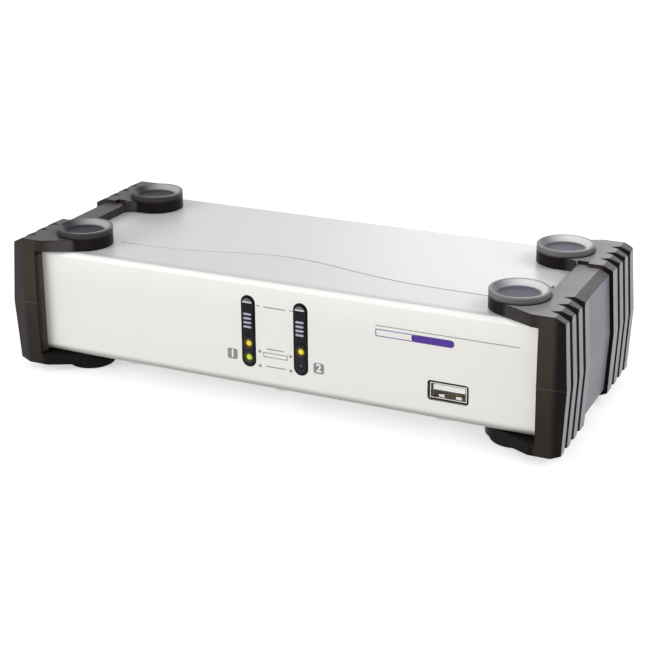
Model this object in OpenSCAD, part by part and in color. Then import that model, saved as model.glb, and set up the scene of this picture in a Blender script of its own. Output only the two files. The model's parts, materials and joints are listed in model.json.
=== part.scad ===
// Two-port desktop switch box: a folded sheet-metal case held between two moulded end caps.
// Millimetres, +Z up, front towards -Y, origin on the standing plane under the middle of the box.

/* [Metal case] */
// Width of the case between the end caps
case_w = 189; // [186:0.5:210]
// Depth of the case from front sheet to rear panel
case_d = 75.6; // [74:0.2:90]
// Height of the case
case_h = 39.3; // [39:0.1:50]
// Thickness of the sheet metal
sheet_t = 1; // [0.8:0.1:1.2]
// Outside bend radius along the two front edges
bend_r = 2.4; // [1.6:0.1:4]
// Depth of the return lip under the front edge
lip_d = 9; // [7:0.5:9.5]
// Depth of the pressed line that sweeps across the top
crease_depth = 0.3; // [0.2:0.05:0.5]
// Width of the pressed line
crease_w = 0.7; // [0.5:0.1:1.5]
// Distance of the pressed line behind the front at the sides
crease_in = 18; // [15:0.2:20]
// How far the pressed line swings to the rear
crease_swing = 9.4; // [6:0.2:12]
// Place across the top where the line swings furthest
crease_x = -7; // [-20:1:20]
// Half width of the swing
crease_spread = 32; // [20:1:40]
// Clearance between folded sheets that slide together
sheet_fit = 0.05; // [0.02:0.01:0.15]

/* [End caps] */
// Depth of an end cap from front to rear
cap_d = 83.6; // [82:0.2:96]
// How far the caps stand in front of the metal case
cap_proud = 4.6; // [3:0.2:9]
// Thickness of a cap from its inner face to the ridge of its bulged side
cap_t = 10.1; // [9.5:0.1:12]
// Clearance between the case side and a cap
cap_fit = 0.2; // [0.1:0.05:0.4]
// Distance of the top and bottom edges inside the ridge
edge_in = 4.8; // [4.4:0.1:6]
// Distance of the shoulders inside the ridge
shoulder_in = 1.3; // [1:0.1:3]
// Height of the chamfer between shoulder and edge
chamfer_h = 1.6; // [1:0.1:2.6]
// How far the end faces of a cap bulge at mid height
end_bulge = 0.6; // [0.2:0.1:1.2]
// Radius of the upright outer edges
cap_edge_r = 1.6; // [1:0.1:2.4]
// Depth of the recessed side panel between the two rib groups
mid_recess = 1.3; // [1:0.1:2]
// Distance of the recessed panel's top edge inside the rib edge
mid_edge_in = 1.1; // [0.6:0.1:1.6]
// Half length of the recessed side panel
mid_half = 14.2; // [13:0.2:15]
// Width of the low strip that ties the two arms together
strip_w = 4; // [2:0.5:6]
// Wall left between the hollow of a cap and its recessed panel
cap_wall = 2; // [1.5:0.1:2.5]

/* [Cap ribs] */
// Number of grooves in each rib group
groove_n = 3; // [2:1:3]
// Distance from the end of the cap to the first groove
groove_first = 6.6; // [6:0.1:7.2]
// Distance of the middle of the two groups behind the middle of the cap
rib_shift = -0.9; // [-1.5:0.1:0]
// Pitch of the grooves
groove_pitch = 7.05; // [6.6:0.05:7.2]
// Depth of a groove in the bulged side
groove_depth = 1.8; // [1:0.1:2]
// Width of a groove at the surface
groove_w = 2.8; // [1.6:0.1:3.2]
// Reach of the dart-shaped notch inside the top edge
dart_len = 3; // [2:0.1:3.4]
// Width of a dart where it crosses the chamfer
dart_w = 4; // [3:0.1:4.6]

/* [Arms, cups and feet] */
// Thickness of the arms above and below the case
arm_t = 4.2; // [3.4:0.1:5]
// Clearance between the arms and the case
arm_gap = 0.2; // [0.1:0.05:0.5]
// Distance of a stacking cup inside the cap's inner face
cup_reach = 11.5; // [11:0.1:16]
// Spacing of the front and rear cups
cup_pitch = 50.7; // [47:0.1:52]
// Outside diameter of a cup
cup_od = 20.3; // [19.5:0.1:22]
// Height of the cup rim above the arm
cup_rise = 2.3; // [2.2:0.1:3.5]
// Width of the flat rim of a cup
cup_rim = 1.1; // [0.6:0.1:1.5]
// Depth of the dish in a cup
cup_dish = 1.8; // [1.2:0.1:2.4]
// Diameter of the floor of the dish
cup_floor = 14.6; // [14.4:0.1:15.4]
// Radius of the inner corner between an arm and the strip
arm_fillet = 3; // [2:0.5:4]
// Distance inside the cap's inner face where an arm's slanted edge leaves the cap's end
arm_corner = 1.2; // [0:0.2:3]
// Diameter of a rubber foot
foot_dia = 17.6; // [14:0.2:18]
// Height of a foot below the cap
foot_stand = 2.6; // [2:0.1:5]
// Depth of the seat that holds a foot
foot_seat = 0.8; // [0.5:0.1:1]
// Radius of the lower edge of a foot
foot_r = 1; // [0.5:0.1:1.5]

/* [Button pills] */
// Spacing of the two button pills
pill_pitch = 20; // [18:0.5:24]
// Width of a pill
pill_w = 5.5; // [5.2:0.1:6.4]
// Height of a pill
pill_h = 26.4; // [25.6:0.2:28]
// Height of the pill centre above the middle of the case
pill_up = 0.9; // [0:0.1:1.2]
// Width of the black rim round a pill
pill_rim = 0.5; // [0.4:0.05:0.6]
// Height of the division between button and window below the pill centre
pill_split = 0.95; // [0:0.05:2]
// Travel of a button
button_travel = 0.8; // [0.4:0.1:1]
// Clearance round a button
button_gap = 0.12; // [0.08:0.02:0.15]
// How far the button's face stands in front of the sheet
button_proud = 0.3; // [0.1:0.1:0.6]
// Height of the ribs on a button
grip_h = 0.55; // [0.3:0.05:0.8]
// Pitch of the ribs on a button
grip_pitch = 1.55; // [1.4:0.05:1.7]
// Height of the middle of the button ribs above the pill centre
grip_up = 4.15; // [4:0.05:5]
// Height of the button's top lip above the pill centre
nose_up = 10.6; // [10.4:0.1:11]
// Diameter of a lamp
lamp_d = 2.6; // [2.2:0.1:2.8]
// Spacing of the two lamps in a window
lamp_pitch = 5.15; // [4.8:0.05:5.4]
// Height of the upper lamp below the pill centre
lamp_down = 4.5; // [4:0.1:5]

/* [Boards] */
// Thickness of the circuit boards
board_t = 1.6; // [1.2:0.1:2]
// Height of the main board above the chassis floor
standoff_h = 4; // [3:0.5:6]
// Distance of the front board behind the front sheet
front_board_in = 9.5; // [9.5:0.1:10.5]
// Spacing of the standoffs across the case
standoff_x = 120; // [100:2:130]
// Spacing of the standoffs from front to rear
standoff_y = 30; // [24:1:34]

/* [Front socket] */
// Distance of the front serial socket right of the middle
front_socket_x = 63.5; // [50:0.5:70]
// Margin of the sheet cut-outs round the flat serial sockets
socket_margin = 0.4; // [0.1:0.05:0.6]

/* [Rear sockets] */
// How far the video shells stand behind the rear panel
video_out = 5.6; // [5:0.1:6]
// Spacing of the two sockets of a stacked video pair
video_pitch = 19; // [18:0.5:20]
// Spacing of the jack screws beside a video socket
jack_pitch = 24.99; // [24.5:0.01:25.4]
// Length of a jack screw's hexagon behind the rear panel
jack_out = 6; // [5:0.5:6]
// Radius of the threaded hole in a jack screw
jack_hole_r = 1.25; // [1.1:0.05:1.4]
// Radius of the plug bore in a sound jack
sound_bore_r = 1.8; // [1.75:0.05:1.9]
// Length of the plug bore in a sound jack
sound_bore_l = 13; // [12:0.5:14]
// Place across the panel of the console video pair
console_video_x = 24; // [23:0.5:25]
// Place across the panel of the second computer's video pair
second_video_x = -27; // [-28:0.5:-26]
// Place across the panel of the first computer's video pair
first_video_x = -77; // [-77.5:0.5:-76]
// Place across the panel of the console sound jacks
console_sound_x = 45.5; // [45:0.5:46]
// Place across the panel of the second computer's sound and serial sockets
second_column_x = -1.5; // [-2:0.5:-1]
// Place across the panel of the first computer's sound and serial sockets
first_column_x = -52.5; // [-53:0.5:-52]
// Place across the panel of the keyboard and mouse sockets
din_x = 58; // [57.5:0.5:58.5]
// Place across the panel of the rear serial socket
rear_socket_x = 73.5; // [73:0.5:74]
// Place across the panel of the power socket
power_x = 87.5; // [87:0.5:88]

/* [Hidden] */
$fn = 48;
eps = 0.01;

// Places of the case and the caps
conn_out = jack_out;
case_y = (cap_proud - conn_out) / 2;
case_front = case_y - case_d / 2;
case_rear = case_y + case_d / 2;
cap_front = case_front - cap_proud;
cap_y = cap_front + cap_d / 2;
cap_h = case_h + 2 * (arm_t + arm_gap);
mid_z = foot_stand + cap_h / 2;
case_z0 = mid_z - case_h / 2;
case_z1 = mid_z + case_h / 2;
floor_z = case_z0 + 2 * sheet_t;
panel_in = case_front + sheet_t;
rear_in = case_rear - sheet_t;

// Half sizes and corner places of an end cap, about its own centre
half_d = cap_d / 2;
half_h = cap_h / 2;
cap_in = case_w / 2 + cap_fit;
ridge_x = cap_in + cap_t;
edge_x = ridge_x - edge_in;
shoulder_x = ridge_x - shoulder_in;
shoulder_z = half_h - chamfer_h;
arm_z = half_h - arm_t;
cup_x = cap_in - cup_reach;
cup_y = cup_pitch / 2;
cup_r = cup_od / 2;
mid_edge_x = edge_x - mid_edge_in;
hollow_taper = 1;
crease_end = 1;

// Screws
screw_r = 1.5;
screw_fit = 0.08;
screw_head_r = 2.8;
screw_head_h = 1.4;
screw_clear = 0.2;
cap_screw_grip = 1.6;
boss_r = 3.2;
boss_h = 3;
head_z = foot_stand + foot_seat;
cover_screw_n = 3;
cover_screw_pitch = 60;
cover_screw_len = 4;
cover_screw_y = case_front + lip_d - screw_head_r;

// Pills, buttons and lamps
pill_z = mid_z + pill_up;
split_z = pill_z - pill_split;
inner_w = pill_w - 2 * pill_rim;
inner_top = pill_z + pill_h / 2 - pill_rim;
inner_bottom = pill_z - pill_h / 2 + pill_rim;
holder_t = 1;
holder_margin = 4.5;
holder_margin_z = 1.6;
pillar_r = 1.5;
pillar_in = 1.75;
pillar_drop = 4;
flange_t = 0.8;
flange_reach = 0.7;
flange_gap = 0.05;
flange_y = panel_in + sheet_fit + holder_t + flange_gap;
front_board_y = case_front + front_board_in;
switch_w = 6;
switch_h = 3.4;
plunger_r = 1.75;
plunger_fit = 0.08;
plunger_out = 1.1;
plunger_in = 1;
plunger_rest = 0.1;
stem_gap = 0.1;
switch_y = front_board_y - switch_h;
button_z = (split_z + inner_top) / 2;
grip_n = 4;
grip_w = 3;
grip_t = 0.75;
grip_r = 0.33;
nose_h = 0.5;
nose_in = 0.35;
lamp_z = pill_z - lamp_down;
lamp_gap = 0.08;
lamp_flange_r = 1.6;
lamp_flange_t = 0.8;
lamp_len = 4.4;
lamp_set = 0.1;
lead_w = 0.5;
lead_pitch = 1.6;
window_pad = 0.3;
window_pad_in = 0.5;
window_gap = 0.05;

// Boards
board_z = floor_z + standoff_h;
board_top = board_z + board_t;
board_margin_x = 6;
board_front_in = 8;
board_rear_gap = 1.1;
board_tongue_gap = 1;
board_front = case_front + board_front_in;
board_rear = rear_in - board_rear_gap;
front_board_w = 44;
front_board_drop = 0.3;
front_board_top = pill_z + pill_h / 2 - front_board_drop;
standoff_r = 3;
standoff_floor = 0.5;
header_w = 30;
header_d = 5;
header_h = 8.5;
chip_h = 1.6;
main_chip = 20;
main_chip_y = -6;
side_chip = 14;
side_chip_y = -4;
small_chip_w = 10;
small_chip_d = 8;
small_chip_y = 14;
chip_x = 34;

// Serial sockets, flat kind
usb_w = 13.1;
usb_h = 5.7;
usb_t = 0.35;
usb_len = 14;
usb_r = 0.6;
usb_z = board_top + usb_h / 2;
usb_set = 0.5;
usb_flare = 0.3;
usb_flare_t = 0.4;
tongue_w = 11.1;
tongue_h = 1.84;
tongue_len = 8.8;
tongue_drop = 0.72;
plug_back = 4;
contact_n = 4;
contact_w = 1.2;
contact_t = 0.2;
contact_len = 6.5;
contact_pitch = 2.2;
spring_w = 2;
spring_len = 3;
spring_h = 0.5;
spring_in = 2;
spring_pitch = 6;
usb_corner = 1.1;

// Serial sockets, square kind
port_w = 12;
port_h = 10.8;
port_open_w = 8.5;
port_open_h = 7.8;
port_bevel = 1.6;
port_len = 15;
port_deep = 9;
port_tongue_w = 5.6;
port_tongue_h = 3.2;
port_tongue_len = 8;
port_out = 0.5;
port_z = board_top + port_h / 2;

// Stacked video sockets
flange_w = 30.8;
flange_h = 12.4;
shield_t = 0.8;
d_top = 16.9;
d_h = 8.4;
d_slope = 10;
d_r = 2.4;
d_wall = 0.5;
d_recess = 0.3;
d_fit = 0.05;
d_margin = 0.5;
housing_d = 12;
pin_r = 0.5;
pin_deep = 4;
pin_rows = 3;
pin_cols = 5;
pin_pitch_x = 2.29;
pin_pitch_z = 1.98;
jack_hex_r = 2.7;
jack_stud_r = 1.4;
jack_stud_l = 4;
jack_deep = 5.5;
jack_fit = 0.1;

// Sound jacks
sound_w = 8;
sound_h = 9;
sound_len = 14;
sound_nose_r = 3.7;
sound_out = 1.6;
sound_pitch = 9;
sound_bevel = 0.4;
sound_up = 11.5;
sound_z = mid_z + sound_up;
console_sound_gap = 15.5;
nose_fit = 0.15;

// Keyboard, mouse and power sockets
din_w = 14;
din_h = 14;
din_len = 12.8;
din_nose_r = 6.4;
din_out = 0.8;
din_ring_r = 4.8;
din_ring_w = 0.9;
din_deep = 5;
din_core_in = 0.2;
din_pin_deep = 4;
din_pin_r = 0.6;
din_pin_circle = 2.5;
din_key_w = 2.2;
din_key_h = 1.2;
power_w = 9;
power_h = 11;
power_len = 14;
power_nose_r = 4.4;
power_out = 1;
power_bore_r = 2.75;
power_deep = 9.5;
power_pin_r = 1;
power_pin_in = 2;
power_z = board_top + power_h / 2;

metal = "gainsboro";
smoke = [0.22, 0.21, 0.22];
jet = [0.08, 0.08, 0.09];
steel = "silver";
green_board = "darkgreen";
amber = "orange";
lime = "greenyellow";
pink = "hotpink";
mint = "mediumseagreen";
violet = "mediumpurple";

// Corner points of a polygon rounded to one radius, with the same number of steps on each corner
function unit(v) = v / norm(v);
function arc_corner(a, b, c, r, steps) =
    let (u = unit(a - b), w = unit(c - b), half = acos(u * w) / 2)
    let (centre = b + unit(u + w) * r / sin(half), from = b + u * r / tan(half) - centre)
    let (side = sign(u[0] * w[1] - u[1] * w[0]), turn = side * (180 - 2 * half))
    [for (i = [0 : steps]) let (t = -turn * i / steps)
        centre + [from[0] * cos(t) - from[1] * sin(t), from[0] * sin(t) + from[1] * cos(t)]];
function rounded(points, r, steps = 5) =
    let (n = len(points))
    [for (i = [0 : n - 1])
        each arc_corner(points[(i + n - 1) % n], points[i], points[(i + 1) % n], r, steps)];
function rectangle(w, h) = [[-w / 2, -h / 2], [w / 2, -h / 2], [w / 2, h / 2], [-w / 2, h / 2]];

// Point where a line from p touches a circle about c
function touch_point(p, c, r) =
    let (v = p - c, turn = atan2(v[1], v[0]) - acos(r / norm(v)))
    c + r * [cos(turn), sin(turn)];

// Lays a drawing in X and Z down into the model and gives it a length along Y from y0 to y1
module along_y(y0, y1) {
    translate([0, y1, 0])
        rotate([90, 0, 0])
            linear_extrude(y1 - y0)
                children();
}

// Gives a drawing in Y and Z a width along X, about the middle
module along_x(w) {
    rotate([90, 0, 90])
        linear_extrude(w, center = true)
            children();
}

// Round bar along Y
module rod_y(r, y0, y1) {
    along_y(y0, y1) circle(r);
}

module at_xz(x, z) {
    translate([x, 0, z]) children();
}

// Upright pill outline about its own centre
module pill(w, h) {
    square([w, h - w], center = true);
    for (s = [-1, 1]) translate([0, s * (h - w) / 2]) circle(w / 2);
}

// Cross-section of the closed case in Y and Z, drawn inside the outer surface by the given inset
module case_section(inset) {
    y0 = case_front + inset;
    z0 = case_z0 + inset;
    z1 = case_z1 - inset;
    r = max(bend_r - inset, eps);
    translate([y0 + r, z0]) square([case_rear - inset - y0 - r, z1 - z0]);
    translate([y0, z0 + r]) square([2 * r, z1 - z0 - 2 * r]);
    for (z = [z0 + r, z1 - r]) translate([y0 + r, z]) circle(r);
}

// Pressed line that crosses the top from cup to cup in one slow bell-shaped swing
function sweep_y(x) = case_front + crease_in + crease_swing * exp(-pow((x - crease_x) / crease_spread, 2));

module top_crease() {
    span = cup_x - cup_r - crease_end;
    steps = 24;
    xs = [for (i = [0 : steps]) -span + 2 * span * i / steps];
    translate([0, 0, case_z1 - crease_depth])
        linear_extrude(2 * crease_depth)
            polygon(concat(
                [for (x = xs) [x, sweep_y(x) - crease_w / 2]],
                [for (i = [steps : -1 : 0]) [xs[i], sweep_y(xs[i]) + crease_w / 2]]));
}

// Places of the screws that hold the caps, one under each cup
module cap_screw_places() {
    for (sx = [-1, 1], sy = [-1, 1])
        translate([sx * cup_x, cap_y + sy * cup_y, 0]) children();
}

// Places of the screws through the lip of the cover
module cover_screw_places() {
    for (i = [0 : cover_screw_n - 1])
        translate([(i - (cover_screw_n - 1) / 2) * cover_screw_pitch, cover_screw_y, 0]) children();
}

// Cut-out for a flat serial socket
module socket_hole() {
    grow = 2 * (usb_flare + socket_margin);
    polygon(rounded(rectangle(usb_w + grow, usb_h + grow), usb_corner));
}

module top_cover() {
    color(metal)
        difference() {
            along_x(case_w)
                difference() {
                    case_section(0);
                    case_section(sheet_t);
                    // Open at the rear and behind the lip
                    translate([case_rear - sheet_t - eps, case_z0 - eps])
                        square([2 * sheet_t, case_h - sheet_t + eps]);
                    translate([case_front + lip_d, case_z0 - eps])
                        square([case_d, sheet_t + 2 * eps]);
                }
            for (s = [-1, 1])
                at_xz(s * pill_pitch / 2, pill_z)
                    along_y(case_front - 1, panel_in + 1) pill(pill_w, pill_h);
            at_xz(front_socket_x, usb_z)
                along_y(case_front - 1, panel_in + 1) socket_hole();
            cover_screw_places()
                translate([0, 0, case_z0]) cylinder(r = screw_r + screw_fit, h = 3 * sheet_t, center = true);
            // Room for a cap screw where it comes up beside the lip
            cap_screw_places()
                translate([0, 0, case_z0])
                    cylinder(r = screw_r + screw_clear, h = 3 * sheet_t, center = true);
            top_crease();
        }
}

module chassis() {
    color(metal)
        difference() {
            union() {
                // Floor and the two side walls
                translate([-case_w / 2, panel_in + bend_r, case_z0 + sheet_t])
                    cube([case_w, rear_in - panel_in - bend_r, sheet_t]);
                for (s = [-1, 1])
                    translate([s * (case_w - sheet_t) / 2, 0, 0])
                        along_x(sheet_t)
                            intersection() {
                                case_section(sheet_t + sheet_fit);
                                translate([case_front, case_z0 + sheet_t])
                                    square([rear_in - case_front, case_h]);
                            }
                cap_screw_places()
                    translate([0, 0, floor_z - eps]) cylinder(r = boss_r, h = boss_h);
            }
            cap_screw_places()
                translate([0, 0, case_z0]) cylinder(r = screw_r + screw_fit, h = boss_h + 4 * sheet_t);
            cover_screw_places()
                translate([0, 0, case_z0]) cylinder(r = screw_r + screw_fit, h = 6 * sheet_t, center = true);
        }
}

// D-shaped outline of a video socket, grown outwards by the given margin
module d_outline(grow) {
    top = d_top / 2 + grow;
    low = top - (d_h + 2 * grow) * tan(d_slope);
    z = d_h / 2 + grow;
    polygon(rounded([[-low, -z], [low, -z], [top, z], [-top, z]], d_r + grow));
}

// Square serial socket's opening with its two bevelled upper corners
module port_outline(grow) {
    w = port_open_w / 2 + grow;
    h = port_open_h / 2 + grow;
    polygon([
        [-w, -h], [w, -h], [w, h - port_bevel],
        [w - port_bevel, h], [port_bevel - w, h], [-w, h - port_bevel]]);
}

video_xs = [console_video_x, second_video_x, first_video_x];
video_zs = [mid_z - video_pitch / 2, mid_z + video_pitch / 2];
column_xs = [second_column_x, first_column_x];
sound_offsets = [-sound_pitch / 2, sound_pitch / 2];
second_sound_xs = [for (dx = sound_offsets) second_column_x + dx];
first_sound_xs = [for (dx = sound_offsets) first_column_x + dx];
console_sound_zs = [board_top + sound_h / 2, board_top + sound_h / 2 + console_sound_gap];
din_zs = [board_top + din_h / 2, board_top + 3 * din_h / 2];

module rear_panel() {
    y0 = rear_in - 1;
    y1 = case_rear + 1;
    color(metal)
        difference() {
            translate([-case_w / 2, rear_in, case_z0])
                cube([case_w, sheet_t, case_h - sheet_t]);
            for (x = video_xs, z = video_zs) {
                at_xz(x, z) along_y(y0, y1) d_outline(d_margin);
                for (s = [-1, 1]) at_xz(x + s * jack_pitch / 2, z) rod_y(jack_stud_r + jack_fit, y0, y1);
            }
            for (x = column_xs) {
                for (dx = sound_offsets) at_xz(x + dx, sound_z) rod_y(sound_nose_r + nose_fit, y0, y1);
                at_xz(x, port_z)
                    along_y(y0, y1) square([port_w + 2 * nose_fit, port_h + 2 * nose_fit], center = true);
            }
            for (z = console_sound_zs) at_xz(console_sound_x, z) rod_y(sound_nose_r + nose_fit, y0, y1);
            for (z = din_zs) at_xz(din_x, z) rod_y(din_nose_r + nose_fit, y0, y1);
            at_xz(rear_socket_x, usb_z) along_y(y0, y1) socket_hole();
            at_xz(power_x, power_z) rod_y(power_nose_r + nose_fit, y0, y1);
        }
}

// Outer side of an end cap between the rib groups' faces, in X and Z
module rib_profile() {
    polygon([
        [cap_in, -half_h], [edge_x, -half_h], [shoulder_x, -shoulder_z], [ridge_x, 0],
        [shoulder_x, shoulder_z], [edge_x, half_h], [cap_in, half_h]]);
}

// The same side where it is recessed between the two groups
module mid_profile() {
    top = half_h - mid_recess;
    low = shoulder_z - mid_recess;
    polygon([
        [cap_in - 1, -top], [mid_edge_x, -top], [shoulder_x - mid_recess, -low], [ridge_x - mid_recess, 0],
        [shoulder_x - mid_recess, low], [mid_edge_x, top], [cap_in - 1, top]]);
}

// Hollow behind the side, closed by the case when the cap is on
module hollow_profile() {
    top = case_h / 2 - cap_wall;
    slope = (ridge_x - shoulder_x) / shoulder_z;
    deep = ridge_x - mid_recess - cap_wall;
    low = deep - top * slope - hollow_taper;
    polygon([
        [cap_in - 1, -top], [low, -top], [deep, 0], [low, top], [cap_in - 1, top]]);
}

// Plan of the upper front arm: a web that runs from the cap's end to the cup
module arm_plan() {
    corner = [cap_in - arm_corner, -half_d];
    centre = [cup_x, -cup_y];
    inner = cup_r - cup_y;
    polygon([
        [cap_in + 1, -half_d], corner, touch_point(corner, centre, cup_r), centre,
        [cup_x, inner], [cap_in + 1, inner]]);
    translate(centre) circle(cup_r);
    // Hollow corner against the strip
    translate([cap_in - strip_w - arm_fillet, inner - eps])
        difference() {
            square([arm_fillet + eps, arm_fillet + eps]);
            translate([0, arm_fillet + eps]) circle(arm_fillet);
        }
}

// Straight groove of triangular section along a line in X and Z, open outwards
module v_cut(from, to, y, width, depth, before, after) {
    v = to - from;
    reach = 4;
    out = reach * depth;
    side = reach * width / 2;
    translate([from[0], y, from[1]])
        rotate([0, atan2(v[0], v[1]), 0])
            translate([0, 0, -before])
                linear_extrude(norm(v) + before + after)
                    polygon([[0, 0], [out, side], [out, -side]]);
}

// Upper half of one groove with the dart that runs it out through the chamfer
module groove_half(y) {
    root = [ridge_x - groove_depth, 0];
    head = [shoulder_x - groove_depth, shoulder_z];
    tip = [edge_x - dart_len, half_h];
    heel = [shoulder_x - groove_depth, shoulder_z - groove_depth];
    overrun = 1;
    dart_depth = 2.4;
    v_cut(root, head, y, groove_w, groove_depth, overrun, overrun);
    v_cut(heel, tip, y, dart_w, dart_depth, overrun, overrun);
}

// Takes the sharp corner off the upper front upright edge
module edge_cut() {
    lean = atan2(shoulder_x - ridge_x, shoulder_z);
    tilt = -atan2(end_bulge, half_h);
    overrun = 1;
    translate([ridge_x, -half_d, 0])
        rotate([tilt, lean, 0])
            translate([0, 0, -overrun])
                linear_extrude(half_h + 4 * overrun)
                    difference() {
                        translate([-cap_edge_r, -overrun]) square(cap_edge_r + overrun);
                        translate([-cap_edge_r, cap_edge_r]) circle(cap_edge_r);
                    }
}

// Makes the upper front quarter's features at all four corners of a cap
module four_corners() {
    for (my = [0, 1], mz = [0, 1]) mirror([0, my, 0]) mirror([0, 0, mz]) children();
}

// Stacking cup that stands on an upper arm
module cup() {
    top = half_h + cup_rise;
    soft = 0.3;
    rotate_extrude()
        polygon([
            [0, arm_z], [cup_r, arm_z], [cup_r, top - soft], [cup_r - soft, top], [cup_r - cup_rim, top],
            [cup_floor / 2, top - cup_dish], [0, top - cup_dish]]);
}

// Seat for a foot and its hidden screw, cut into a lower arm
module foot_seat_cut() {
    translate([0, 0, -half_h - eps])
        cylinder(r = foot_dia / 2 + screw_clear, h = foot_seat + eps);
    translate([0, 0, -half_h])
        cylinder(r = screw_head_r + screw_clear, h = arm_t - cap_screw_grip);
    translate([0, 0, -half_h])
        cylinder(r = screw_r + screw_clear, h = arm_t + 1);
}

// Right-hand cap about its own centre
module cap_right() {
    difference() {
        union() {
            intersection() {
                union() {
                    difference() {
                        along_y(-half_d, half_d) rib_profile();
                        // Recess between the rib groups
                        translate([0, rib_shift, 0])
                            difference() {
                                translate([cap_in - eps, -mid_half, -half_h - 1])
                                    cube([cap_t + 1, 2 * mid_half, cap_h + 2]);
                                along_y(-mid_half - 1, mid_half + 1) mid_profile();
                            }
                    }
                    four_corners()
                        translate([0, 0, arm_z]) linear_extrude(arm_t) arm_plan();
                    for (mz = [0, 1])
                        mirror([0, 0, mz])
                            translate([cap_in - strip_w, -cup_y, arm_z])
                                cube([strip_w + 1, cup_pitch, arm_t - mid_recess]);
                }
                // Slightly bulged front and rear ends
                along_x(4 * ridge_x)
                    polygon([
                        [-half_d, 0], [end_bulge - half_d, half_h], [half_d - end_bulge, half_h], [half_d, 0],
                        [half_d - end_bulge, -half_h], [end_bulge - half_d, -half_h]]);
            }
            for (s = [-1, 1]) translate([cup_x, s * cup_y, 0]) cup();
        }
        four_corners() edge_cut();
        translate([0, rib_shift, 0])
            four_corners()
                for (i = [0 : groove_n - 1]) groove_half(groove_first + i * groove_pitch - half_d);
        along_y(cap_t - half_d, half_d - cap_t) hollow_profile();
        for (s = [-1, 1]) translate([cup_x, s * cup_y, 0]) foot_seat_cut();
    }
}

module end_cap_right() {
    color(smoke) translate([0, cap_y, mid_z]) cap_right();
}

module end_cap_left() {
    color(smoke) translate([0, cap_y, mid_z]) mirror([1, 0, 0]) cap_right();
}

module foot(sx, sy) {
    color(jet)
        translate([sx * cup_x, cap_y + sy * cup_y, 0])
            rotate_extrude()
                difference() {
                    square([foot_dia / 2, foot_stand + foot_seat]);
                    translate([foot_dia / 2 - foot_r, 0])
                        difference() {
                            translate([0, -eps]) square([foot_r + eps, foot_r + eps]);
                            translate([0, foot_r]) circle(foot_r);
                        }
                }
}

// Round-headed screw standing on its head
module screw(head_r, head_h, length) {
    cylinder(r = head_r, h = head_h);
    cylinder(r = screw_r, h = head_h + length);
}

module cap_screws() {
    seat = foot_stand + arm_t - cap_screw_grip;
    color(steel)
        cap_screw_places()
            translate([0, 0, seat - screw_head_h])
                screw(screw_head_r, screw_head_h, cap_screw_grip + arm_gap + 2 * sheet_t + boss_h);
}

module cover_screws() {
    color(steel)
        cover_screw_places()
            translate([0, 0, case_z0 - screw_head_h]) screw(screw_head_r, screw_head_h, cover_screw_len);
}

module standoff_places() {
    for (sx = [-1, 1], sy = [-1, 1])
        translate([sx * standoff_x / 2, case_y + sy * standoff_y / 2, 0]) children();
}

module main_board() {
    w = case_w - 2 * board_margin_x;
    color(green_board)
        difference() {
            union() {
                translate([-w / 2, board_front, board_z]) cube([w, board_rear - board_front, board_t]);
                // Tongue under the front socket
                translate([front_socket_x - usb_w / 2, panel_in + board_tongue_gap, board_z])
                    cube([usb_w, board_front - panel_in, board_t]);
            }
            standoff_places()
                translate([0, 0, board_z - 1]) cylinder(r = screw_r + screw_clear, h = board_t + 2);
        }
}

module board_standoffs() {
    color("goldenrod")
        standoff_places()
            translate([0, 0, floor_z])
                difference() {
                    cylinder(r = standoff_r, h = standoff_h, $fn = 6);
                    translate([0, 0, standoff_floor]) cylinder(r = screw_r + screw_fit, h = standoff_h);
                }
}

module board_screws() {
    color(steel)
        standoff_places()
            translate([0, 0, board_top + screw_head_h])
                mirror([0, 0, 1]) screw(screw_head_r, screw_head_h, board_t + standoff_h - 1);
}

// Chip package standing on the main board
module chip(x, y, w, d) {
    translate([x - w / 2, case_y + y - d / 2, board_top]) cube([w, d, chip_h]);
}

module board_chips() {
    color(jet) {
        chip(0, main_chip_y, main_chip, main_chip);
        for (s = [-1, 1]) {
            chip(s * chip_x, side_chip_y, side_chip, side_chip);
            chip(s * chip_x, small_chip_y, small_chip_w, small_chip_d);
        }
    }
}

module front_board() {
    color(green_board)
        translate([-front_board_w / 2, front_board_y, board_top])
            cube([front_board_w, board_t, front_board_top - board_top]);
}

module board_header() {
    color(jet)
        translate([-header_w / 2, front_board_y + board_t, board_top])
            cube([header_w, header_d, header_h]);
}

// Room for the button in the upper part of a pill
module button_outline(gap) {
    intersection() {
        pill(inner_w - 2 * gap, inner_top - inner_bottom - 2 * gap);
        translate([-pill_w, gap - pill_split]) square([2 * pill_w, pill_h]);
    }
}

// Room for the lamp window in the lower part of a pill
module window_outline(gap) {
    intersection() {
        pill(inner_w - 2 * gap, inner_top - inner_bottom - 2 * gap);
        translate([-pill_w, -pill_split - gap - pill_rim - pill_h]) square([2 * pill_w, pill_h]);
    }
}

module button_holder() {
    back = panel_in + sheet_fit;
    w = pill_pitch + pill_w + 2 * holder_margin;
    h = pill_h + 2 * holder_margin_z;
    color(jet)
        difference() {
            union() {
                translate([-w / 2, back, pill_z - h / 2]) cube([w, holder_t, h]);
                for (s = [-1, 1])
                    at_xz(s * pill_pitch / 2, pill_z)
                        along_y(case_front, back + eps) pill(pill_w - 2 * sheet_fit, pill_h - 2 * sheet_fit);
                // Pillars that space the holder off the front board
                for (sx = [-1, 1], sz = [-1, 1])
                    at_xz(sx * (w / 2 - pillar_in), pill_z + sz * (pill_h / 2 - pillar_drop))
                        rod_y(pillar_r, back, front_board_y);
            }
            for (s = [-1, 1])
                at_xz(s * pill_pitch / 2, pill_z) {
                    along_y(case_front - 1, back + 2 * holder_t) button_outline(0);
                    along_y(case_front - 1, back + 2 * holder_t) window_outline(0);
                }
        }
}

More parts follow.
